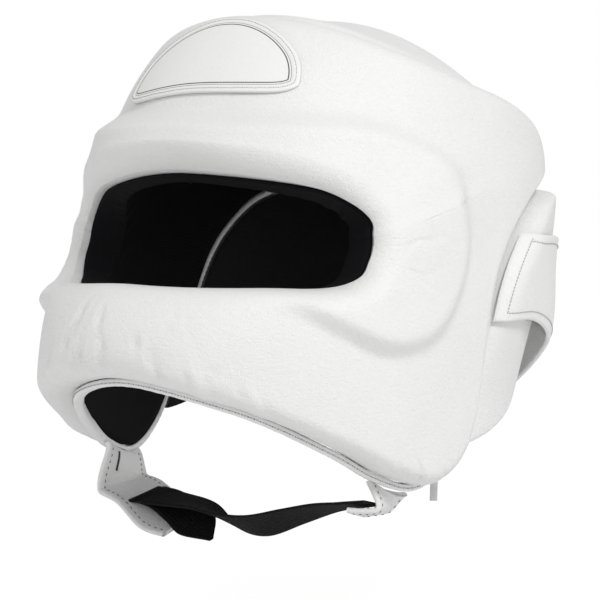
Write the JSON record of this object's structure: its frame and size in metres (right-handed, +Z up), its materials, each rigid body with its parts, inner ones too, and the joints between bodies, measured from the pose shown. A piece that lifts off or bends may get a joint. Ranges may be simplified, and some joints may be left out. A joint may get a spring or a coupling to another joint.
{
  "type": "full face boxing head guard",
  "caption": "Padded leather boxing head guard with a bar across the face, an eye window, laced rear pads under a closure band and a chin strap.",
  "frame": {"origin": "crown seat: the point inside the crown pad where the crown of the wearer's head touches it", "axes": "+Z up, the face looks along -Y, +X is the wearer's left"},
  "size_m": [0.218, 0.2807, 0.257],
  "materials": {
    "white_leather": "satin",
    "white_binding": "satin",
    "white_rear_leather": "satin",
    "black_lining": "matte",
    "black_webbing": "matte",
    "label": "satin"
  },
  "bodies": {
    "root": {"face_shell": "white_leather", "face_lining": "black_lining", "edge_binding": "white_binding", "rear_pad_left": "white_rear_leather", "rear_pad_right": "white_rear_leather", "closure_band_left": "white_leather", "closure_band_right": "white_leather", "crown_pad": "white_rear_leather", "label_plate": "label", "chin_strap_leather": "white_leather", "chin_strap_tab": "white_leather", "chin_strap_webbing": "black_webbing", "chin_strap_tail": "black_webbing"}
  },
  "joints": []
}
